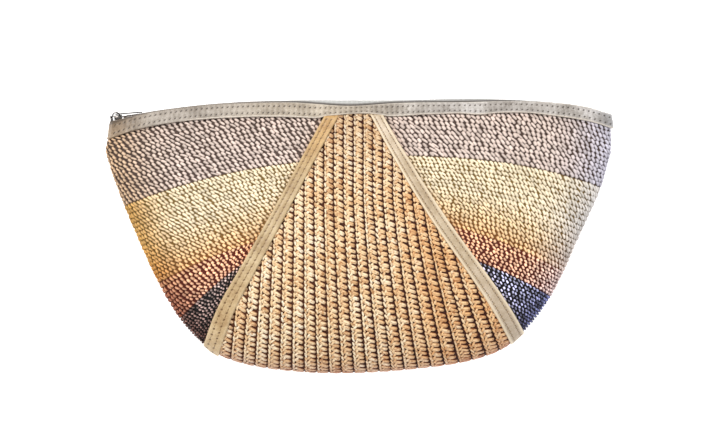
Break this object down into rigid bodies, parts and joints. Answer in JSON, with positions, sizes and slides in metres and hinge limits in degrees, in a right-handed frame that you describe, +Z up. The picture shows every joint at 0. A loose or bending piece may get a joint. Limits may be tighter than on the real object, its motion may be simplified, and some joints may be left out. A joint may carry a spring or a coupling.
{
  "type": "straw clutch bag",
  "caption": "Soft zipped clutch bag lying on its back: ribbed braid centre between striped straw sides, bound seams and rim, a closed zip and a swinging pull tab.",
  "frame": {"origin": "middle of the bag's box, on the surface it lies on", "axes": "+X to the right of the front, +Y towards the zip, +Z up through the front"},
  "size_m": [0.3056, 0.1655, 0.046],
  "materials": {
    "straw_braid": "flat plaited natural straw, slightly glossy strands",
    "straw_rows": "fine crocheted straw rows in grey, yellow, rust and charcoal stripes",
    "seam_tape": "smooth tan leather-like binding with stitch holes",
    "rim_band": "smooth grey-beige leather-like binding with stitch holes",
    "zip_cloth": "woven grey zip tape",
    "zip_coil": "grey nylon coil",
    "zip_metal": "polished nickel"
  },
  "bodies": {
    "bag": {"centre_panel": "straw_braid", "side_panel_left": "straw_rows", "side_panel_right": "straw_rows", "tape_left": "seam_tape", "tape_right": "seam_tape", "rim_band": "rim_band", "zip_tape_front": "zip_cloth", "zip_tape_back": "zip_cloth", "zip_coil": "zip_coil", "zip_slider": "zip_metal"},
    "pull": {"zip_pull": "zip_metal"}
  },
  "joints": [
    {"name": "pull_swing", "type": "hinge", "parent": "bag", "child": "pull", "pos_m": [-0.14633, 0.07315, 0.01161], "axis": [0, 0, 1], "range_deg": [0, 165]}
  ]
}
